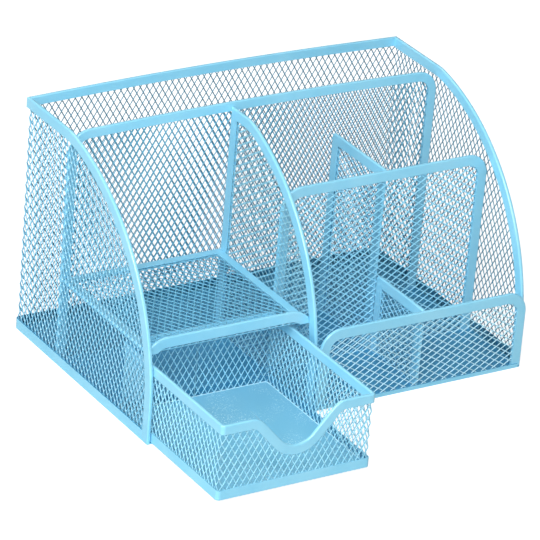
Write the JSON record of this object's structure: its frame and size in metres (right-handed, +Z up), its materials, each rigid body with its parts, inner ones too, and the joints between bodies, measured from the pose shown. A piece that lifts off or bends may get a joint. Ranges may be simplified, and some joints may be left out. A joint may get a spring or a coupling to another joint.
{
  "type": "desk organizer",
  "caption": "Mesh desk organizer with curved sides, a tall file slot at the back, open pen sections on the right, and a sliding drawer under a shelf on the left.",
  "frame": {"origin": "middle of the body's footprint on the underside of the floor tray, without the pulled-out drawer", "axes": "+X to the right and +Z up as seen from the drawer side, the drawer slides out along -Y"},
  "size_m": [0.2216, 0.202, 0.1314],
  "materials": {
    "coated_channel": "satin-gloss powder coat on folded steel channel",
    "coated_mesh": "satin powder coat on expanded steel mesh",
    "coated_sheet": "satin powder coat with a light speckle on flat steel sheet"
  },
  "bodies": {
    "organizer": {"base_tray": "coated_sheet", "shell_mesh": "coated_mesh", "rear_partition_mesh": "coated_mesh", "bay_divider_mesh": "coated_mesh", "mid_partition_mesh": "coated_mesh", "pocket_wall_mesh": "coated_mesh", "rear_cross_wall_mesh": "coated_mesh", "front_cross_wall_mesh": "coated_mesh", "shelf_mesh": "coated_mesh", "shell_rim_left": "coated_channel", "shell_rim_right": "coated_channel", "shell_rim_back": "coated_channel", "rear_partition_rim": "coated_channel", "bay_divider_rim": "coated_channel", "mid_partition_rim": "coated_channel", "pocket_wall_rim": "coated_channel", "rear_cross_wall_rim": "coated_channel", "front_cross_wall_rim": "coated_channel", "shelf_front_rim": "coated_channel", "shelf_border_left": "coated_channel", "shelf_border_right": "coated_channel", "shelf_border_back": "coated_channel"},
    "drawer": {"drawer_pan": "coated_sheet", "drawer_wall_mesh": "coated_mesh", "drawer_top_rim": "coated_channel"}
  },
  "joints": [
    {"name": "drawer_slide", "type": "slide", "parent": "organizer", "child": "drawer", "axis": [0, -1, 0], "range_m": [-0.061, 0.024]}
  ]
}
